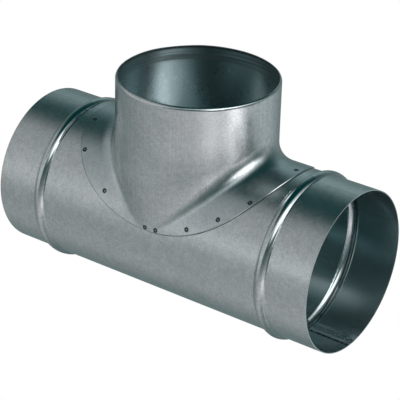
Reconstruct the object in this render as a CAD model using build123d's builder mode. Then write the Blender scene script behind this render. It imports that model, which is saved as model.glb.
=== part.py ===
from build123d import *
from math import cos, degrees, radians, sin, tan
import os

os.makedirs("parts", exist_ok=True)

# Driving sizes of the tee, in millimetres and degrees.
# The run lies along X, the branch stands along Z, and their centre lines cross at the origin.

# Through tube
run_length = 287.0
run_diameter = 124.3          # outside, so that it slides into a 125 mm duct
run_sheet = 0.6
insertion_depth = 40.0        # from an end of the run to the middle of its bead

# Stop beads, rolled outwards
bead_width = 9.0
bead_height = 2.8
bead_side_angle = 50.0        # how steeply a bead's sides leave the wall
bead_root_radius = 1.2

# Lap seam along the underside, where the sheet's inner end lies on its outer end
lap_width = 12.0
lap_ramp = 4.0                # the doubled sheet eases back into the single wall over this width
lap_ramp_edge = 0.1           # thickness that is left at the end of the ramp
lap_setback = 0.4             # the inner end stops this short of the ends of the run
clip_length = 6.0             # its corners are clipped behind a narrow tab, along the run
tab_width = 4.0

# Branch saddle
branch_step = 1.3             # the collar's spigot is this much smaller outside than the run
branch_height = 115.0         # from the run's centre line to the rim of the collar
branch_sheet = 0.8
saddle_gap = 0.05             # the flange lies this close on the tube
crotch_radius = 15.0          # drawn radius between collar and flange, on the outside
draw_taper = 0.35             # the drawn part of the collar widens by this from the spigot down to the axis
spigot_clearance = 1.0        # the sized spigot starts this far above the crotch radius
lip_radius = 2.8              # the rim is turned in round this outside radius
lip_turn = 65.0

# Oval outline of the flange, laid on the tube
flange_length = 183.0
flange_wrap = 79.5            # how far the flange reaches down each side of the tube, from the top
opening_margin = 14.0         # the hole in the tube lies this far inside the flange's edge
outline_points = 24           # on the smooth closed curve through the oval

# Spot welds, set by hand in an uneven row just inside the flange's edge
weld_dome_radius = 5.0        # radius of the electrode's dome
weld_depth = 0.25
# Each weld's turn round the oval, from its right tip towards the front, and its margin to the flange's edge
right_weld = (-3, 5.6)
side_welds = [(30, 3.8), (48, 4.7), (66, 4.2), (84, 2.2), (90, 2.0), (120, 6.6), (147, 3.5), (168, 5.1)]

# Sizes that follow
run_radius = run_diameter / 2
run_end = run_length / 2
branch_radius = (run_diameter - branch_step) / 2
bead_middle = run_end - insertion_depth
saddle_outer_radius = run_radius + saddle_gap + branch_sheet
spigot_start = saddle_outer_radius + crotch_radius + spigot_clearance
lip_start = branch_height - lip_radius * sin(radians(lip_turn))
outline_step = 360 / outline_points
bead_peak = bead_width / 2 * tan(radians(bead_side_angle))     # before the crown is rounded
crown_radius = (bead_peak - bead_height) / (1 / cos(radians(bead_side_angle)) - 1)


def bead_corners(middle):
    """Corners of one bead before they are rounded: foot, peak, foot."""
    return [
        (middle - bead_width / 2, run_radius),
        (middle, run_radius + bead_peak),
        (middle + bead_width / 2, run_radius),
    ]


def sheet_section(plane, end, depth):
    """Half section of a layer of the tube's sheet that lies at the given depth under its outer skin."""
    with BuildLine() as skin:
        FilletPolyline(
            (-end, run_radius),
            *bead_corners(-bead_middle),
            *bead_corners(bead_middle),
            (end, run_radius),
            radius=2 * [bead_root_radius, crown_radius, bead_root_radius],
        )
        if depth:
            offset(amount=depth, side=Side.RIGHT, closed=False, mode=Mode.REPLACE)
    with BuildSketch(plane) as section:
        with BuildLine():
            add(skin.line)
            offset(amount=run_sheet, side=Side.RIGHT)
        make_face()
    return section.sketch


def oval_point(radius, margin, turn):
    """Point on a cylinder about the run's centre line, margin inside the flange's oval edge."""
    wrap = radians(flange_wrap) - margin / saddle_outer_radius
    angle = wrap * sin(radians(turn))
    return Vector(
        (flange_length / 2 - margin) * cos(radians(turn)),
        -radius * sin(angle),
        radius * cos(angle),
    )


def oval_blade(margin):
    """Thin surface, square to the sheet, that follows the flange's oval at the given margin."""
    shares = [step / outline_points for step in range(outline_points + 1)]
    inner_rim, outer_rim = [
        Edge.make_spline(
            [oval_point(radius, margin, outline_step * point) for point in range(outline_points)],
            periodic=True,
            parameters=shares,
        )
        for radius in (run_radius / 2, branch_height)
    ]
    return Face.make_surface_from_curves(inner_rim, outer_rim)


def branch_form(inset):
    """Solid form of collar, crotch and saddle, whose skin lies inset inside the outside of the sheet."""
    with BuildPart() as form:
        with BuildSketch(Plane.XZ) as collar_half:
            Polygon(
                (0, 0),
                (branch_radius + draw_taper - inset, 0),
                (branch_radius - inset, spigot_start),
                (branch_radius - inset, lip_start + inset),
                (0, lip_start + inset),
                align=None,
            )
        revolve(axis=Axis.Z)
        with BuildSketch(Plane.YZ) as saddle_round:
            Circle(saddle_outer_radius - inset)
        extrude(amount=run_end - insertion_depth + inset, both=True)
        crotch = form.edges().filter_by(GeomType.BSPLINE)
        fillet(crotch, radius=crotch_radius + inset)
    return form.part


# Wall of the run tube: the rolled sheet with its two beads
with BuildPart() as run_wall:
    revolve(sheet_section(Plane.XZ, run_end, 0), axis=Axis.X)

# Inner end of that sheet, lapped along the underside
underside = Plane.XZ.rotated((180, 0, 0))
with BuildPart() as run_lap:
    lap_section = sheet_section(underside, run_end - lap_setback, run_sheet)
    revolve(lap_section, axis=Axis.X, revolution_arc=degrees(lap_width / run_radius))
    far_side = run_lap.faces().filter_by(GeomType.PLANE).sort_by(Axis.Y)[-1]
    upward_skin = run_lap.faces().filter_by(lambda face: face.normal_at().Z > cos(radians(60)))
    ramp_edges = far_side.edges() & upward_skin.edges()
    chamfer(ramp_edges, length=run_sheet - lap_ramp_edge, length2=lap_ramp, reference=far_side)
    with BuildSketch(Plane.XY.offset(-run_radius)) as clipped_corners:
        with Locations((run_end, tab_width), (-run_end, tab_width)):
            Rectangle(2 * clip_length, lap_width, align=(Align.CENTER, Align.MIN))
    extrude(amount=run_radius, mode=Mode.SUBTRACT)

# Run tube, cut open under the branch
with BuildPart() as run_tube:
    wall_pieces = split(run_wall.part, bisect_by=oval_blade(opening_margin), keep=Keep.ALL, mode=Mode.PRIVATE)
    add(wall_pieces.solids().sort_by(SortBy.VOLUME)[-1])
    add(run_lap.part)
run_tube.part.label = "run_tube"

# Pressed sheet of the branch saddle, before its flange is trimmed
with BuildPart() as saddle_blank:
    add(branch_form(0))
    add(branch_form(branch_sheet), mode=Mode.SUBTRACT)

# Branch saddle: collar, crotch and trimmed flange, with the turned-in lip and the spot welds
with BuildPart() as branch_saddle:
    blank_pieces = split(saddle_blank.part, bisect_by=oval_blade(0), keep=Keep.ALL, mode=Mode.PRIVATE)
    add(blank_pieces.solids().sort_by(Axis.Z)[-1])
    with BuildSketch(Plane.XZ) as lip_section:
        with BuildLine():
            CenterArc((branch_radius - lip_radius, lip_start), lip_radius, 0, lip_turn)
            offset(amount=branch_sheet, side=Side.LEFT)
        make_face()
    revolve(axis=Axis.Z)
    far_side_welds = [(-turn, margin) for turn, margin in side_welds]
    for turn, margin in [right_weld] + side_welds + far_side_welds:
        under_weld = oval_point(run_radius, margin, turn)
        outwards = Vector(0, under_weld.Y, under_weld.Z).normalized()
        skin_point, skin_normal = branch_saddle.part.find_intersection_points(Axis(under_weld, outwards))[-1]
        with Locations(skin_point + skin_normal * (weld_dome_radius - weld_depth)):
            Sphere(weld_dome_radius, mode=Mode.SUBTRACT)
branch_saddle.part.label = "branch_saddle"

for piece in (run_tube.part, branch_saddle.part):
    export_step(piece, f"parts/{piece.label}.step")
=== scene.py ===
import math

import bmesh
import bpy
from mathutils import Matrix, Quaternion, Vector


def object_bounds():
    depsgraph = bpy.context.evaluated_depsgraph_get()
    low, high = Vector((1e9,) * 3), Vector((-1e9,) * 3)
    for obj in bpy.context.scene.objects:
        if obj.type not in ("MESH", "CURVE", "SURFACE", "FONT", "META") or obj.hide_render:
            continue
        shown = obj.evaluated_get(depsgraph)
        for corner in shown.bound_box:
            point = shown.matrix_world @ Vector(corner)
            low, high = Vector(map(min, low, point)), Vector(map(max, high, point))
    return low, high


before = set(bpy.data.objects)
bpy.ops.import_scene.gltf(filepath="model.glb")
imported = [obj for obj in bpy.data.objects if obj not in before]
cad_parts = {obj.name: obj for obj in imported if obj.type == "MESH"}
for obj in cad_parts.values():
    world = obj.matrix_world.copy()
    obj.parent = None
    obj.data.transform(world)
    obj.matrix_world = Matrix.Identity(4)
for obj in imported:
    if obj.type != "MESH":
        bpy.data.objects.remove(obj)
cadLow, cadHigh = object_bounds()
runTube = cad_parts["run_tube"]
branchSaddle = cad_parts["branch_saddle"]
print("tee loaded", [round(v, 4) for v in (*cadLow, *cadHigh)])


def direction(azimuth, elevation):  # azimuth from straight in front towards the right end, in degrees
    turn, lift = math.radians(azimuth), math.radians(elevation)
    return Vector((math.sin(turn) * math.cos(lift), -math.cos(turn) * math.cos(lift), math.sin(lift)))


# Camera: where the photograph was taken from
shot = {
    "azimuth": 36.14,
    "elevation": 26.64,
    "distance": 1.3432,
    "roll": 1.635,
    "target": (0.00435, 0.0, 0.01363),
    "sensor": 36.0,
    "lens": 159.19,
}


def placeCamera():
    back = direction(shot["azimuth"], shot["elevation"])
    camera = bpy.data.objects.new("photoCamera", bpy.data.cameras.new("photoCamera"))
    camera.data.sensor_width = shot["sensor"]
    camera.data.lens = shot["lens"]
    camera.location = Vector(shot["target"]) + back * shot["distance"]
    camera.rotation_mode = "QUATERNION"
    level = (-back).to_track_quat("-Z", "Y")
    camera.rotation_quaternion = level @ Quaternion((0, 0, 1), math.radians(shot["roll"]))
    bpy.context.scene.collection.objects.link(camera)
    bpy.context.scene.camera = camera


placeCamera()
print("camera placed")


# One value in a node tree, so that sums of values become Math nodes
class Value:
    def __init__(self, tree, link):
        self.tree = tree
        self.link = link

    def maths(self, operation, *terms):
        node = self.tree.nodes.new("ShaderNodeMath")
        node.operation = operation
        for place, term in enumerate(terms):
            if isinstance(term, Value):
                self.tree.links.new(term.link, node.inputs[place])
            else:
                node.inputs[place].default_value = term
        return Value(self.tree, node.outputs[0])

    def __add__(self, other):
        return self.maths("ADD", self, other)

    def __radd__(self, other):
        return self.maths("ADD", other, self)

    def __sub__(self, other):
        return self.maths("SUBTRACT", self, other)

    def __rsub__(self, other):
        return self.maths("SUBTRACT", other, self)

    def __mul__(self, other):
        return self.maths("MULTIPLY", self, other)

    def __rmul__(self, other):
        return self.maths("MULTIPLY", other, self)

    def __truediv__(self, other):
        return self.maths("DIVIDE", self, other)

    def __rtruediv__(self, other):
        return self.maths("DIVIDE", other, self)

    def __pow__(self, other):
        return self.maths("POWER", self, other)

    def __rpow__(self, other):
        return self.maths("POWER", other, self)

    def __abs__(self):
        return self.maths("ABSOLUTE", self)

    def alone(self, operation):
        return self.maths(operation, self)

    def turnFrom(self, other):  # angle whose tangent is this value over the other
        return self.maths("ARCTAN2", self, other)

    def least(self, other):
        return self.maths("MINIMUM", self, other)

    def most(self, other):
        return self.maths("MAXIMUM", self, other)

    def rise(self, first, second):  # 0 at the first value, 1 at the second
        return ((self - first) / (second - first)).most(0.0).least(1.0)

    def near(self, middle, reach, soft):  # 1 within reach of the middle, 0 past the soft width
        return 1 - abs(self - middle).rise(reach, reach + soft)


# The node tree of one finish
class Finish:
    def __init__(self, owner):
        owner.use_nodes = True
        self.tree = owner.node_tree
        self.tree.nodes.clear()

    def node(self, kind, settings, inputs, output=0):
        made = self.tree.nodes.new(kind)
        for name, setting in settings.items():
            setattr(made, name, setting)
        for name, given in inputs.items():
            if isinstance(given, Value):
                self.tree.links.new(given.link, made.inputs[name])
            else:
                made.inputs[name].default_value = given
        return Value(self.tree, made.outputs[output]) if made.outputs else None

    def split(self, vector):
        return [self.node("ShaderNodeSeparateXYZ", {}, {"Vector": vector}, place) for place in range(3)]

    def join(self, x, y, z):
        return self.node("ShaderNodeCombineXYZ", {}, {"X": x, "Y": y, "Z": z})

    def along(self, vector, axis):
        return self.node("ShaderNodeVectorMath", {"operation": "DOT_PRODUCT"}, {0: vector, 1: tuple(axis)}, "Value")

    def away(self, vector, spot):
        return self.node("ShaderNodeVectorMath", {"operation": "DISTANCE"}, {0: vector, 1: tuple(spot)}, "Value")

    def noise(self, vector, scale, detail, roughness=0.5):
        inputs = {"Vector": vector, "Scale": scale, "Detail": detail, "Roughness": roughness}
        return self.node("ShaderNodeTexNoise", {}, inputs)

    def blend(self, factor, first, second, way="MIX"):  # a Mix node's colours are sockets 6 and 7, and output 2
        settings = {"data_type": "RGBA", "blend_type": way}
        return self.node("ShaderNodeMix", settings, {0: factor, 6: first, 7: second}, 2)


# Zinc skin that both sheets share, in metres
zinc = {
    "darkGrain": (0.43, 0.46, 0.465, 1.0),
    "lightGrain": (0.69, 0.70, 0.705, 1.0),
    "steel": (0.42, 0.43, 0.44, 1.0),
    "sootAndShade": (0.02, 0.028, 0.03, 1.0),
    "grainSize": 0.0026,
    "mottleScale": 60.0,       # cloudy patches
    "fineScale": 1000.0,       # speckle
    "waveScale": 17.0,         # slight waviness of the sheet
    "toneSway": {"grain": 0.3, "mottle": 0.55, "streak": 0.6, "fine": 1.3},
    "roughSway": {"grain": 0.03, "mottle": 0.08, "streak": 0.05},
    "relief": {"grain": 0.000002, "streak": 0.00001, "fine": 0.000005, "wave": 0.0002},
    "metal": 0.96,             # the rest is the matt bloom on old zinc
    "roughness": 0.21,
    "rubbedRoughness": 0.07,   # where a roller or a die has polished the zinc
    "sootAndShadeRoughness": 0.35,     # what full soot and painted shade adds
    "roughest": 0.9,
    "edgeSteel": 0.5,          # how much bare steel shows on a cut edge
    "patchy": (0.35, 0.65),    # noise values between which a patch builds up: grime and painted shadow by the flange, turning marks in the collar
    "halfTurn": 0.0001,        # half the depth in which the inner skin gives way to the outer
}


# Galvanized sheet: the masks go from 0 to 1, and the sheet says how its inner skin looks, with painted shade in
# that colour
def galvanized(finish, place, streak, sheet, masks):
    grain = finish.node(
        "ShaderNodeTexVoronoi", {"feature": "F1"},
        {"Vector": place, "Scale": 1 / zinc["grainSize"], "Randomness": 1.0}, "Color",
    )
    patterns = {
        "grain": finish.split(grain)[0],
        "mottle": finish.noise(place, zinc["mottleScale"], 4.0, 0.62),
        "streak": streak,
        "fine": finish.noise(place, zinc["fineScale"], 2.0),
        "wave": finish.noise(place, zinc["waveScale"], 2.0, 0.4),
    }
    tone = 0.5 + sum((patterns[name] - 0.5) * sway for name, sway in zinc["toneSway"].items())
    colour = finish.blend(tone.most(0.0).least(1.0), zinc["darkGrain"], zinc["lightGrain"])
    # painted shade: the inner skin takes the sheet's darker, teal shaded colour
    colour = finish.blend(masks["inside"], colour, sheet["shadedInnerSkin"])
    colour = finish.blend(masks["bareEdge"] * zinc["edgeSteel"], colour, zinc["steel"])
    # soot and weld marks, and painted shade along edges, creases and under the lip, darken the colour
    colour = finish.blend(masks["sootAndShade"], colour, zinc["sootAndShade"])
    rough = zinc["roughness"] + sum((patterns[name] - 0.5) * sway for name, sway in zinc["roughSway"].items())
    rough = rough + masks["inside"] * sheet["innerDulling"]
    rough = rough * (1 - masks["rubbed"]) + zinc["rubbedRoughness"] * masks["rubbed"]
    rough = (rough + masks["sootAndShade"] * zinc["sootAndShadeRoughness"]).least(zinc["roughest"])
    metal = zinc["metal"] + (1 - zinc["metal"]) * masks["rubbed"]
    height = masks["relief"] + sum(patterns[name] * metres for name, metres in zinc["relief"].items())
    bump = finish.node("ShaderNodeBump", {}, {"Strength": 1.0, "Distance": 1.0, "Height": height})
    shader = finish.node(
        "ShaderNodeBsdfPrincipled", {},
        {"Base Color": colour, "Metallic": metal, "Roughness": rough, "Normal": bump},
    )
    finish.node("ShaderNodeOutputMaterial", {}, {"Surface": shader})


def streaks(finish, places, paces):  # fine marks of forming, drawn out where the pace is low
    stretched = [place * pace for place, pace in zip(places, paces)]
    return finish.noise(finish.join(*stretched), 1.0, 3.0, 0.65)


def within(out, middleSkin):  # 1 on the inner skin, 0 on the outer
    return 1 - out.rise(middleSkin - zinc["halfTurn"], middleSkin + zinc["halfTurn"])


def dress(node, material):
    for slot in node.material_slots:
        slot.material = material


# Oval outline of the flange on the tube, and the spot welds inside it, as in the part's own source
flange = {
    "halfLength": 0.0915,
    "wrap": math.radians(79.5),
    "skin": 0.063,
    "rightWeld": (-3, 0.0056),
    "sideWelds": (
        (30, 0.0038), (48, 0.0047), (66, 0.0042), (84, 0.0022), (90, 0.0020), (120, 0.0066), (147, 0.0035),
        (168, 0.0051),
    ),
    "weldRagged": 0.0009,      # how unevenly a weld's marks run
    "raggedScale": 900.0,
    "ring": 0.0012,            # radius of the burnt ring, and half its width
    "ringHalf": 0.00045,
    "ringSoft": 0.0005,
    "ringSoot": 0.8,
    "ringHeight": 0.0001,
    "core": 0.0012,            # tinted middle of a weld
    "coreSoft": 0.0006,
    "coreSoot": 0.15,
    "gapLine": 0.0005,         # width of the dark line of grime and painted shadow against the flange's edge
    "gapSoft": 0.0003,
    "leastGrimeAndShade": 0.4,
    "moreGrimeAndShade": 0.4,          # what the thickest patches add
    "grimeAndShadeScale": 90.0,
}


def onSaddle(turn, margin):  # point on the saddle's skin at a weld
    angle = (flange["wrap"] - margin / flange["skin"]) * math.sin(math.radians(turn))
    along = (flange["halfLength"] - margin) * math.cos(math.radians(turn))
    guess = Vector((along, -flange["skin"] * math.sin(angle), flange["skin"] * math.cos(angle)))
    return branchSaddle.closest_point_on_mesh(guess * 1.01)[1]  # looked for from just outside the sheet


def pastFlange(x, around):  # metres outwards from the flange's edge, along the tube's skin
    across, upright = x / flange["halfLength"], around / flange["wrap"]
    ring = (across ** 2.0 + upright ** 2.0) ** 0.5
    halfHeight = flange["wrap"] * flange["skin"]
    slope = ((across / flange["halfLength"]) ** 2.0 + (upright / halfHeight) ** 2.0) ** 0.5
    return (ring - 1.0) * ring / slope.most(0.001)  # the slope is 0 in the oval's middle


# Run tube: rolled sheet, with its two beads and the welded lap along the underside
run = {
    "cutEnd": (0.14335, 0.14349),             # along the run, where the bare cut of an end begins
    "streakPace": (420.0, 9.0, 60.0),         # rolling streaks: along the run, round it, outwards
    "beadMiddle": 0.1035,
    "beadHalf": 0.0043,
    "beadSoft": 0.0010,
    "beadInside": 0.4,         # how much less the groove inside a bead is rubbed
    "grooveShadeMiddle": 0.1037,     # painted shade: two dark lines in the groove, each side of this
    "grooveShadeAway": 0.0013,
    "grooveShadeHalf": 0.00015,
    "grooveShadeSoft": 0.0003,
    "grooveShade": 0.6,
    "middleSkin": 0.0619,      # half way through the sheet
    "underside": (-0.045, -0.05),             # heights between which the seam's marks come in
    "lapEdge": 0.0001,         # across, where the inner end of the sheet stops
    # painted shadow along the inner lap's edge, broken into patches
    "lapShadowHalf": 0.00025,
    "lapShadowSoft": 0.0004,
    "lapShadowPace": 260.0,
    "lapPatchy": (0.38, 0.55),
    "lapShadow": 0.9,
    "weldLine": 0.006,         # across, the middle of the seam weld
    "weldHalf": 0.002,
    "weldSoft": 0.003,
    "weldTint": 0.12,
    "nuggetPitch": 0.0042,
    "nuggetRing": 0.0016,      # radius of the mark round each weld nugget
    "nuggetHalf": 0.0002,
    "nuggetSoft": 0.0005,
    "nuggetSoot": 0.2,
    "nuggetDip": 0.00012,
    "shadedInnerSkin": (0.46, 0.57, 0.58, 1.0),     # painted shade: greener and darker inside the tube, for the shade there
    "innerDulling": 0.02,      # how much rougher the inner skin is
}


def rolledSheet():
    material = bpy.data.materials.new("rolledGalvanizedSheet")
    finish = Finish(material)
    place = finish.node("ShaderNodeTexCoord", {}, {}, "Object")
    x, y, z = finish.split(place)
    around = (0 - y).turnFrom(z)
    out = (y * y + z * z) ** 0.5
    inside = within(out, run["middleSkin"])
    streak = streaks(finish, (x, around, out), run["streakPace"])

    bead = abs(x).near(run["beadMiddle"], run["beadHalf"], run["beadSoft"])
    # painted shade: two dark lines in the feet of the groove inside each bead
    fromGrooveShade = abs(abs(x) - run["grooveShadeMiddle"])
    grooveShadeLines = fromGrooveShade.near(run["grooveShadeAway"], run["grooveShadeHalf"], run["grooveShadeSoft"]) * inside

    under = z.rise(*run["underside"])
    lapNoise = finish.noise(finish.join(x * run["lapShadowPace"], 0.0, 0.0), 1.0, 3.0)
    # painted shadow along the inner lap's edge, broken into patches
    lap = y.near(run["lapEdge"], run["lapShadowHalf"], run["lapShadowSoft"]) * under * inside
    lap = lap * lapNoise.rise(*run["lapPatchy"])
    weld = y.near(run["weldLine"], run["weldHalf"], run["weldSoft"]) * under
    cell = (x / run["nuggetPitch"]).alone("FRACT") - 0.5
    fromNugget = ((cell * run["nuggetPitch"]) ** 2.0 + (y - run["weldLine"]) ** 2.0) ** 0.5
    nugget = fromNugget.near(run["nuggetRing"], run["nuggetHalf"], run["nuggetSoft"]) * under

    halfLine = flange["gapLine"] / 2
    # grime and painted shadow on the tube along the flange's edge, thicker in patches
    grimeAndShade = pastFlange(x, around).near(halfLine, halfLine, flange["gapSoft"]) * (1 - inside)
    thick = finish.noise(place, flange["grimeAndShadeScale"], 3.0).rise(*zinc["patchy"])
    grimeAndShade = grimeAndShade * (flange["leastGrimeAndShade"] + thick * flange["moreGrimeAndShade"])

    sootAndShade = lap * run["lapShadow"] + nugget * run["nuggetSoot"] + weld * run["weldTint"]
    sootAndShade = sootAndShade + grimeAndShade + grooveShadeLines * run["grooveShade"]
    galvanized(finish, place, streak, run, {
        "inside": inside,
        "rubbed": bead * (1 - inside * run["beadInside"]),
        "sootAndShade": sootAndShade.least(1.0),
        "bareEdge": abs(x).rise(*run["cutEnd"]),
        "relief": nugget * -run["nuggetDip"],
    })
    return material


dress(runTube, rolledSheet())
print("run tube dressed")


# Branch saddle: one pressed sheet, drawn up round the collar and rubbed by the dies
saddle = {
    "streakPace": (55.0, 9.0, 40.0),          # drawing streaks: round the collar, up it, outwards
    "middleSkin": 0.0611,      # half way through the collar's sheet
    "lipFoot": 0.1118,
    "lipSoft": 0.0008,
    "curlOut": 0.0587,         # the lip's curl is centred this far out, at this height
    "curlHeight": 0.11246,
    "curlSkin": 0.0024,        # half way through the curled sheet
    # painted shade under the lip's curl
    "underLipShade": 0.7,
    "turnedFrom": 0.101,       # above this height the inside shows turning marks
    "turnedSoft": 0.003,
    "turningPitch": 0.0016,
    "turningWander": 0.6,      # how much those marks change round the collar
    "turningSoot": 0.5,
    "turningHeight": 0.00006,
    "crotchOut": (0.0618, 0.0635),            # the rubbed crotch, from the collar's centre line
    "crotchFromRun": (0.0632, 0.0640),        # and from the run's
    "crotchRub": 0.25,
    "flareTilt": 0.12,         # steepest slope of the soft flare between the crotch and the collar
    "flareFoot": 0.066,        # where it starts, peaks and ends, from the run's centre line
    "flarePeak": 0.079,
    "flareEnd": 0.100,
    "flatSkin": 0.0645,        # the flat of the flange lies within this distance of the run's centre line
    "flatSoft": 0.0015,
    "flatShade": 0.40,       # painted shade: how much of the inner skin's shaded colour the flat's upper part takes
    "flatShadeHeights": (0.015, 0.05),
    "cutEdge": (-0.0003, -0.0001),            # past the flange's edge, where its cut begins
    "cutFoot": (0.0625, 0.0623),              # lower side of the cut, with painted shade, from the run's centre line
    "cutFootShade": 0.8,
    "burrMiddle": 0.0626,      # half way up the cut, which leans outwards as a burr does
    "burrTilt": 0.8,
    # painted shade: darker and greener inside the collar, for the shade there
    "shadedInnerSkin": (0.33, 0.43, 0.44, 1.0),
    "innerDulling": 0.08,
}


def fromWeld(finish, place, x, y, z):  # distance to the nearest weld, with the far side folded on the near one
    folded = finish.join(x, abs(y), z)
    gap = finish.away(place, onSaddle(*flange["rightWeld"]))
    for turn, margin in flange["sideWelds"]:
        spot = onSaddle(turn, margin)
        gap = gap.least(finish.away(folded, (spot.x, abs(spot.y), spot.z)))
    return gap + (finish.noise(place, flange["raggedScale"], 2.0) - 0.5) * flange["weldRagged"]


def softFlare(fromRun):  # height whose slope grows from the foot to the peak and fades to the end
    footLength = saddle["flarePeak"] - saddle["flareFoot"]
    headLength = saddle["flareEnd"] - saddle["flarePeak"]
    foot = fromRun.rise(saddle["flareFoot"], saddle["flarePeak"])
    head = fromRun.rise(saddle["flarePeak"], saddle["flareEnd"])
    return (foot * foot * footLength / 2 + (head - head * head / 2) * headLength) * -saddle["flareTilt"]


def pressedSheet():
    material = bpy.data.materials.new("pressedGalvanizedSheet")
    finish = Finish(material)
    place = finish.node("ShaderNodeTexCoord", {}, {}, "Object")
    x, y, z = finish.split(place)
    around = x.turnFrom(y)
    out = (x * x + y * y) ** 0.5
    fromRun = (y * y + z * z) ** 0.5
    streak = streaks(finish, (around, z, out), saddle["streakPace"])

    curled = z.rise(saddle["lipFoot"], saddle["lipFoot"] + saddle["lipSoft"])
    fromCurl = ((out - saddle["curlOut"]) ** 2.0 + (z - saddle["curlHeight"]) ** 2.0) ** 0.5
    lip = curled * (1 - within(fromCurl, saddle["curlSkin"]))
    inside = within(out, saddle["middleSkin"]) * (1 - lip)
    turnedTop = z.rise(saddle["turnedFrom"], saddle["turnedFrom"] + saddle["turnedSoft"]) * (1 - curled)
    turningPlace = finish.join(around * saddle["turningWander"], 0.0, z / saddle["turningPitch"])
    turning = finish.noise(turningPlace, 1.0, 2.0).rise(*zinc["patchy"]) * inside * turnedTop

    crotch = out.rise(*saddle["crotchOut"]) * fromRun.rise(*saddle["crotchFromRun"])
    gap = fromWeld(finish, place, x, y, z)
    ring = gap.near(flange["ring"], flange["ringHalf"], flange["ringSoft"])
    core = gap.near(0.0, flange["core"], flange["coreSoft"])

    flat = 1 - fromRun.rise(saddle["flatSkin"], saddle["flatSkin"] + saddle["flatSoft"])
    cut = pastFlange(x, (0 - y).turnFrom(z)).rise(*saddle["cutEdge"]) * flat
    cutFoot = cut * fromRun.rise(*saddle["cutFoot"])
    burr = (fromRun - saddle["burrMiddle"]) * cut * -saddle["burrTilt"]
    # painted shade on the flange's upper part, darker towards the collar
    flangeTopShade = flat * z.rise(*saddle["flatShadeHeights"]) * saddle["flatShade"] * (1 - cut)

    # painted shade under the lip's curl
    sootAndShade = ring * flange["ringSoot"] + core * flange["coreSoot"] + (curled - lip) * saddle["underLipShade"]
    # painted shade on the lower side of the flange's cut
    sootAndShade = sootAndShade + turning * saddle["turningSoot"] + cutFoot * saddle["cutFootShade"]
    relief = ring * flange["ringHeight"] + turning * saddle["turningHeight"]
    # the flange's upper part gets the inner skin's painted shade too
    galvanized(finish, place, streak, saddle, {
        "inside": inside.most(flangeTopShade),
        "rubbed": (lip + crotch * saddle["crotchRub"] + cut).least(1.0),
        "sootAndShade": sootAndShade.least(1.0),
        "bareEdge": cutFoot,
        "relief": relief + softFlare(fromRun) * (1 - inside) + burr,
    })
    return material


dress(branchSaddle, pressedSheet())
print("branch saddle dressed")


# Stage: pale floor, and soft light all round it
stage = {
    "floorSize": 12.0,
    "floorGap": 0.0004,
    "floorLook": (1.0, 1.0, 1.0, 1.0),
    "below": (0.14, 0.20, 0.20, 1.0),
    "overhead": (0.0, 0.045, 0.045, 1.0),
    "roomBlend": (-0.2, 0.6),  # sines of the elevations between which the room goes from one to the other
    "facingSoft": 0.02,
    "coolShare": 0.2,          # how much red a fully cool patch loses
    "blueLift": 1.03,
}

# Patches of light: azimuth, elevation, half width and half height in degrees, how firm the patch's edge is,
# brightness, and how cool it is, or warm where that is below 0
lightPatches = {
    "window": (76, 34, 28, 12, 2, 2.4, 0.1),
    "windowHead": (60, 51, 50, 10, 1, 1.05, 0.2),
    "windowOnFloor": (90, -26, 12, 23, 1, 1.42, -0.3),
    "highRight": (117, 33, 13, 11, 1, 0.35, 0.2),
    "backOfRoom": (128, -46, 21, 12, 1, 1.9, 0.2),
    "softbox": (-50, 24, 46, 37, 3, 0.45, -0.2),
    "frontFloor": (20, -32, 75, 22, 1, 0.37, -0.6),
    "nearFloor": (57, -25, 15, 9, 1, 0.60, -0.3),
    "leftFloor": (-33, -58, 45, 24, 1, 0.30, -0.5),
    "backLeft": (-155, 25, 28, 18, 1, 0.35, 1.0),
    "rightWall": (140, -18, 32, 21, 1, 0.38, 0.1),
}


def layFloor():
    grid = bmesh.new()
    bmesh.ops.create_grid(grid, x_segments=1, y_segments=1, size=stage["floorSize"] / 2)
    bmesh.ops.translate(grid, verts=grid.verts, vec=(0.0, 0.0, cadLow.z - stage["floorGap"]))
    mesh = bpy.data.meshes.new("paleFloor")
    grid.to_mesh(mesh)
    grid.free()
    floor = bpy.data.objects.new("paleFloor", mesh)
    bpy.context.scene.collection.objects.link(floor)
    material = bpy.data.materials.new("paleFloor")
    finish = Finish(material)
    paint = finish.node("ShaderNodeEmission", {}, {"Color": stage["floorLook"], "Strength": 1.0})
    finish.node("ShaderNodeOutputMaterial", {}, {"Surface": paint})
    mesh.materials.append(material)
    floor.visible_glossy = False      # the light from below is in the soft patches
    floor.visible_diffuse = False
    floor.visible_shadow = False


def lightStudio():
    world = bpy.data.worlds.new("studio")
    bpy.context.scene.world = world
    finish = Finish(world)
    towards = finish.node("ShaderNodeTexCoord", {}, {}, "Generated")
    height = finish.split(towards)[2]
    room = finish.blend(height.rise(*stage["roomBlend"]), stage["below"], stage["overhead"])
    for azimuth, elevation, halfWidth, halfHeight, firmness, brightness, cool in lightPatches.values():
        middle = direction(azimuth, elevation)
        side = direction(azimuth + 90, 0)
        top = direction(azimuth, elevation + 90)
        across = finish.along(towards, side) / math.sin(math.radians(halfWidth))
        upright = finish.along(towards, top) / math.sin(math.radians(halfHeight))
        fall = (0 - (across * across + upright * upright) ** firmness).alone("EXPONENT")
        facing = finish.along(towards, middle).rise(0.0, stage["facingSoft"])
        red, blue = brightness * (1 - stage["coolShare"] * cool), brightness * stage["blueLift"]
        room = finish.blend(fall * facing, room, (red, brightness, blue, 1.0), "ADD")
    seen = finish.node("ShaderNodeLightPath", {}, {}, "Is Camera Ray")
    sky = finish.blend(seen, room, stage["floorLook"])
    shader = finish.node("ShaderNodeBackground", {}, {"Color": sky, "Strength": 1.0})
    finish.node("ShaderNodeOutputWorld", {}, {"Surface": shader})


layFloor()
lightStudio()
bpy.context.scene.view_settings.view_transform = "Standard"
print("stage lit")
